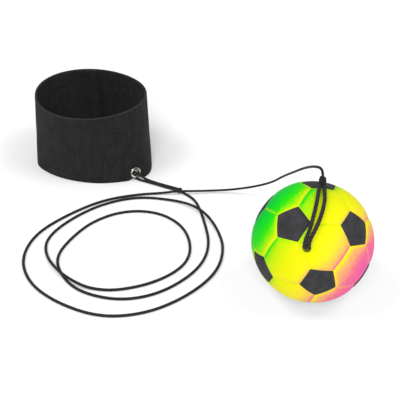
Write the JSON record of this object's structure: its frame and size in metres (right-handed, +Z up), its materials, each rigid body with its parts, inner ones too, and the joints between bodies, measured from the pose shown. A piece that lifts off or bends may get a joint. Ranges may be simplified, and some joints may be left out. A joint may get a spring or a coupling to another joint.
{
  "type": "return ball with elastic wristband",
  "caption": "Sponge-rubber ball on a long elastic cord that is tied through an eyelet to a ribbed elastic wristband, for rebound and reflex practice.",
  "frame": {"origin": "on the floor, at the middle of the footprint of the ball and the wristband together", "axes": "+Z up from the floor, +Y from the ball's side towards the wristband's side, +X from the wristband's side towards the ball's side"},
  "size_m": [0.1875, 0.2047, 0.0697],
  "materials": {
    "ball_rubber": "matte sponge rubber, neon yellow with sprayed green and pink and grey pentagons",
    "webbing": "black woven elastic with fine ribs up the band",
    "thread": "black sewing thread",
    "nickel": "nickel-plated rolled brass",
    "elastic": "dark round elastic, braided cover over a rubber core",
    "loop_cord": "dark grey twisted loop cord"
  },
  "bodies": {
    "tether": {"elastic_cord": "elastic", "band_knot": "elastic"},
    "band_loop": {"band_loop": "elastic"},
    "wristband": {"wristband": "webbing", "seam_stitching": "thread", "eyelet": "nickel", "eyelet_washer": "nickel"},
    "ball_loop": {"ball_loop_left": "loop_cord", "ball_loop_right": "loop_cord", "ball_knot": "loop_cord", "stopper_knot": "loop_cord"},
    "ball": {"ball": "ball_rubber"}
  },
  "joints": [
    {"name": "band_swing", "type": "hinge", "parent": "tether", "child": "band_loop", "pos_m": [-0.0039, 0.021, 0.0015], "axis": [0, 0, 1], "range_deg": [-60, 12]},
    {"name": "band_tilt", "type": "hinge", "parent": "band_loop", "child": "wristband", "pos_m": [-0.03069, 0.03597, 0.0025], "axis": [0.749, 0.6626, 0], "range_deg": [0, 25]},
    {"name": "ball_swivel", "type": "hinge", "parent": "tether", "child": "ball_loop", "pos_m": [0.0664, -0.07, 0.0632], "axis": [0, 0, 1], "range_deg": [-90, 90]},
    {"name": "ball_turn", "type": "hinge", "parent": "ball_loop", "child": "ball", "pos_m": [0.0635, -0.0722, 0.03], "axis": [-0.2081, -0.8538, 0.4772], "continuous": true}
  ]
}
